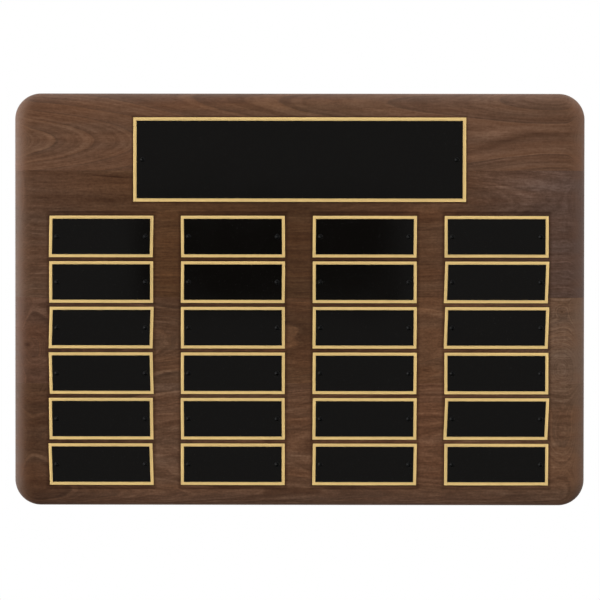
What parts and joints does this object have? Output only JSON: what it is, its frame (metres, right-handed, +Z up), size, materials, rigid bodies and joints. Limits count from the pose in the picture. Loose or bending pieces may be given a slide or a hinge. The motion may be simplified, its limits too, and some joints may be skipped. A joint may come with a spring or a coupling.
{
  "type": "wall plaque",
  "caption": "Wide walnut wall plaque with rounded corners and edges, a black-faced brass header plate and rows of matching blank name plates.",
  "frame": {"origin": "centre of the board's flat back face, where the plaque meets the wall", "axes": "+Z up as the plaque hangs, +X to the right seen from the front, +Y out of the back into the wall, so the front faces -Y"},
  "size_m": [0.3492, 0.0213, 0.2526],
  "materials": {
    "walnut": "solid black walnut under a satin clear lacquer",
    "engraving_brass": "satin brass faced in black, with a bare border",
    "black_screws": "black oxide steel, semi-gloss",
    "zinc_hangers": "bright zinc plated steel"
  },
  "bodies": {
    "root": {"board_stave_1": "walnut", "board_stave_2": "walnut", "board_stave_3": "walnut", "board_stave_4": "walnut", "header_plate": "engraving_brass", "header_screw_left": "black_screws", "header_screw_right": "black_screws", "name_plate_r1_c1": "engraving_brass", "name_plate_r1_c2": "engraving_brass", "name_plate_r1_c3": "engraving_brass", "name_plate_r1_c4": "engraving_brass", "name_plate_r2_c1": "engraving_brass", "name_plate_r2_c2": "engraving_brass", "name_plate_r2_c3": "engraving_brass", "name_plate_r2_c4": "engraving_brass", "name_plate_r3_c1": "engraving_brass", "name_plate_r3_c2": "engraving_brass", "name_plate_r3_c3": "engraving_brass", "name_plate_r3_c4": "engraving_brass", "name_plate_r4_c1": "engraving_brass", "name_plate_r4_c2": "engraving_brass", "name_plate_r4_c3": "engraving_brass", "name_plate_r4_c4": "engraving_brass", "name_plate_r5_c1": "engraving_brass", "name_plate_r5_c2": "engraving_brass", "name_plate_r5_c3": "engraving_brass", "name_plate_r5_c4": "engraving_brass", "name_plate_r6_c1": "engraving_brass", "name_plate_r6_c2": "engraving_brass", "name_plate_r6_c3": "engraving_brass", "name_plate_r6_c4": "engraving_brass", "hanger_plate_left": "zinc_hangers", "hanger_screw_left_top": "zinc_hangers", "hanger_screw_left_bottom": "zinc_hangers", "hanger_plate_right": "zinc_hangers", "hanger_screw_right_top": "zinc_hangers", "hanger_screw_right_bottom": "zinc_hangers"}
  },
  "joints": []
}
